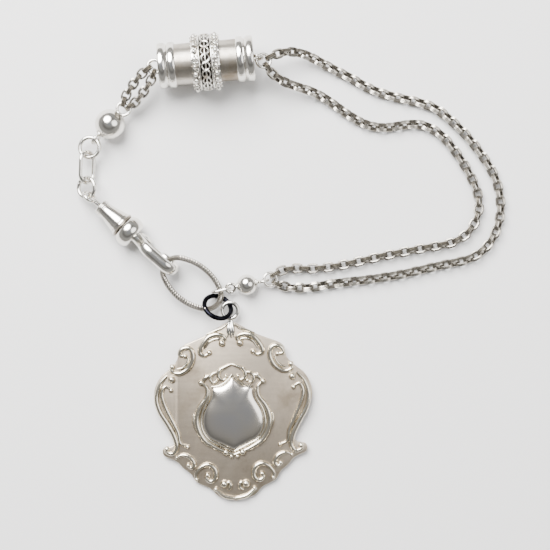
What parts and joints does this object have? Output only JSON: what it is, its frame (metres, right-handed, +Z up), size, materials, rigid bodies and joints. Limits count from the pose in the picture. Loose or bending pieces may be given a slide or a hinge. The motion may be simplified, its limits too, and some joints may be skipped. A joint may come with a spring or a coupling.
{
  "type": "pocket watch chain",
  "caption": "Silver double-strand pocket watch chain fastened in a loop: barrel station, balls, dog clip, oval ring and a scroll-edged medal fob.",
  "frame": {"origin": "under the middle of the whole chain, on the surface that it lies on", "axes": "+Z up from the surface, +Y from the fob towards the barrel station, +X towards the bend of the long strands"},
  "size_m": [0.0864, 0.0936, 0.0117],
  "materials": {
    "satin_silver": "satin, warm toning",
    "polished_silver": "polished, softly worn",
    "oxidised_silver": "dark oxide in the recesses",
    "pierced_silver": "granulated, bright on the high points",
    "chain_silver": "reeded links with dark recesses",
    "plain_silver": "plain wire, worn",
    "milled_silver": "milled surface",
    "blackened_steel": "blue-black",
    "toned_silver": "champagne-brown tone, fine scratches",
    "shield_silver": "polished, faintly toned"
  },
  "bodies": {
    "barrel_station": {"barrel_tube": "satin_silver", "left_collar": "polished_silver", "right_collar": "polished_silver", "left_end_cap": "satin_silver", "right_end_cap": "satin_silver", "barrel_core_wire": "plain_silver", "band_sleeve": "oxidised_silver", "gallery_band": "pierced_silver", "left_crown": "pierced_silver", "right_crown": "pierced_silver"},
    "left_run": {"short_strand_a": "chain_silver", "short_strand_b": "chain_silver", "large_ball": "polished_silver", "large_ball_wire": "plain_silver", "swivel_eye": "plain_silver"},
    "ring_1": {"ring_1": "polished_silver"},
    "long_link": {"long_link": "polished_silver"},
    "ring_3": {"ring_3": "polished_silver"},
    "clip": {"clip_collar": "plain_silver", "clip_barrel": "plain_silver", "clip_flange": "oxidised_silver", "clip_bead": "plain_silver", "clip_hook": "plain_silver", "gate_pin": "blackened_steel", "gate_spring": "blackened_steel"},
    "gate": {"gate_lever": "plain_silver"},
    "right_run": {"right_fork_ring": "chain_silver", "strand_fork_ring": "chain_silver", "small_ball": "polished_silver", "small_ball_wire": "plain_silver"},
    "strand_a": {"strand_a": "chain_silver"},
    "strand_b": {"strand_b": "chain_silver"},
    "end_loop": {"end_loop": "plain_silver"},
    "oval_ring": {"oval_ring": "milled_silver"},
    "jump_ring": {"jump_ring": "blackened_steel"},
    "fob": {"bail_ring": "plain_silver", "bail_post": "plain_silver", "fob_plate": "toned_silver", "fob_border": "polished_silver", "fob_cartouche": "polished_silver", "fob_shield": "shield_silver"}
  },
  "joints": [
    {"name": "left_run_fold", "type": "hinge", "parent": "barrel_station", "child": "left_run", "pos_m": [-0.02758, 0.03955, 0.0059], "axis": [-0.0635, 0.9954, 0.0711], "range_deg": [0, 18]},
    {"name": "right_run_fold", "type": "hinge", "parent": "barrel_station", "child": "right_run", "pos_m": [-0.00686, 0.04174, 0.0059], "axis": [-0.4089, -0.9105, -0.0615], "range_deg": [0, 20]},
    {"name": "strand_a_swing", "type": "hinge", "parent": "right_run", "child": "strand_a", "pos_m": [-0.00484, 0.04171, 0.00515], "axis": [0.029, -0.996, -0.084], "range_deg": [0, 18]},
    {"name": "strand_b_swing", "type": "hinge", "parent": "right_run", "child": "strand_b", "pos_m": [-0.00522, 0.04048, 0.00545], "axis": [0.0301, -0.9952, -0.0931], "range_deg": [0, 18]},
    {"name": "ring_1_flip", "type": "hinge", "parent": "left_run", "child": "ring_1", "pos_m": [-0.0394, 0.0254, 0.00291], "axis": [-0.2909, -0.9496, -0.1164], "range_deg": [-8, 8]},
    {"name": "long_link_flip", "type": "hinge", "parent": "left_run", "child": "long_link", "pos_m": [-0.04025, 0.02263, 0.00257], "axis": [-0.1492, -0.9883, 0.0318], "range_deg": [-8, 8]},
    {"name": "ring_3_flip", "type": "hinge", "parent": "left_run", "child": "ring_3", "pos_m": [-0.04099, 0.01768, 0.00273], "axis": [0.0096, -0.9998, 0.0183], "range_deg": [-8, 8]},
    {"name": "clip_swivel", "type": "hinge", "parent": "left_run", "child": "clip", "pos_m": [-0.03892, 0.01308, 0.00315], "axis": [0.7536, -0.6574, 0], "range_deg": [-30, 15]},
    {"name": "gate_opening", "type": "hinge", "parent": "clip", "child": "gate", "pos_m": [-0.02973, 0.00536, 0.00207], "axis": [0.643, 0.7371, 0.2079], "range_deg": [-14, 0], "stiffness_Nm_per_rad": 0.0004, "springref_deg": 17.19},
    {"name": "oval_ring_flip", "type": "hinge", "parent": "right_run", "child": "oval_ring", "pos_m": [-0.01431, -0.00428, 0.00151], "axis": [0.889, -0.4376, -0.1347], "range_deg": [-8, 12]},
    {"name": "end_loop_flip", "type": "hinge", "parent": "right_run", "child": "end_loop", "pos_m": [-0.01261, -0.00366, 0.00235], "axis": [-0.8524, -0.31, -0.421], "range_deg": [-8, 8]},
    {"name": "jump_ring_swing", "type": "hinge", "parent": "oval_ring", "child": "jump_ring", "pos_m": [-0.01421, -0.0058, 0.00194], "axis": [0.188, 0.9812, 0.0431], "range_deg": [0, 12]},
    {"name": "fob_swing", "type": "hinge", "parent": "jump_ring", "child": "fob", "pos_m": [-0.01232, -0.00842, 0.0021], "axis": [0.0015, -0.0419, 0.9991], "range_deg": [-20, 20]}
  ]
}
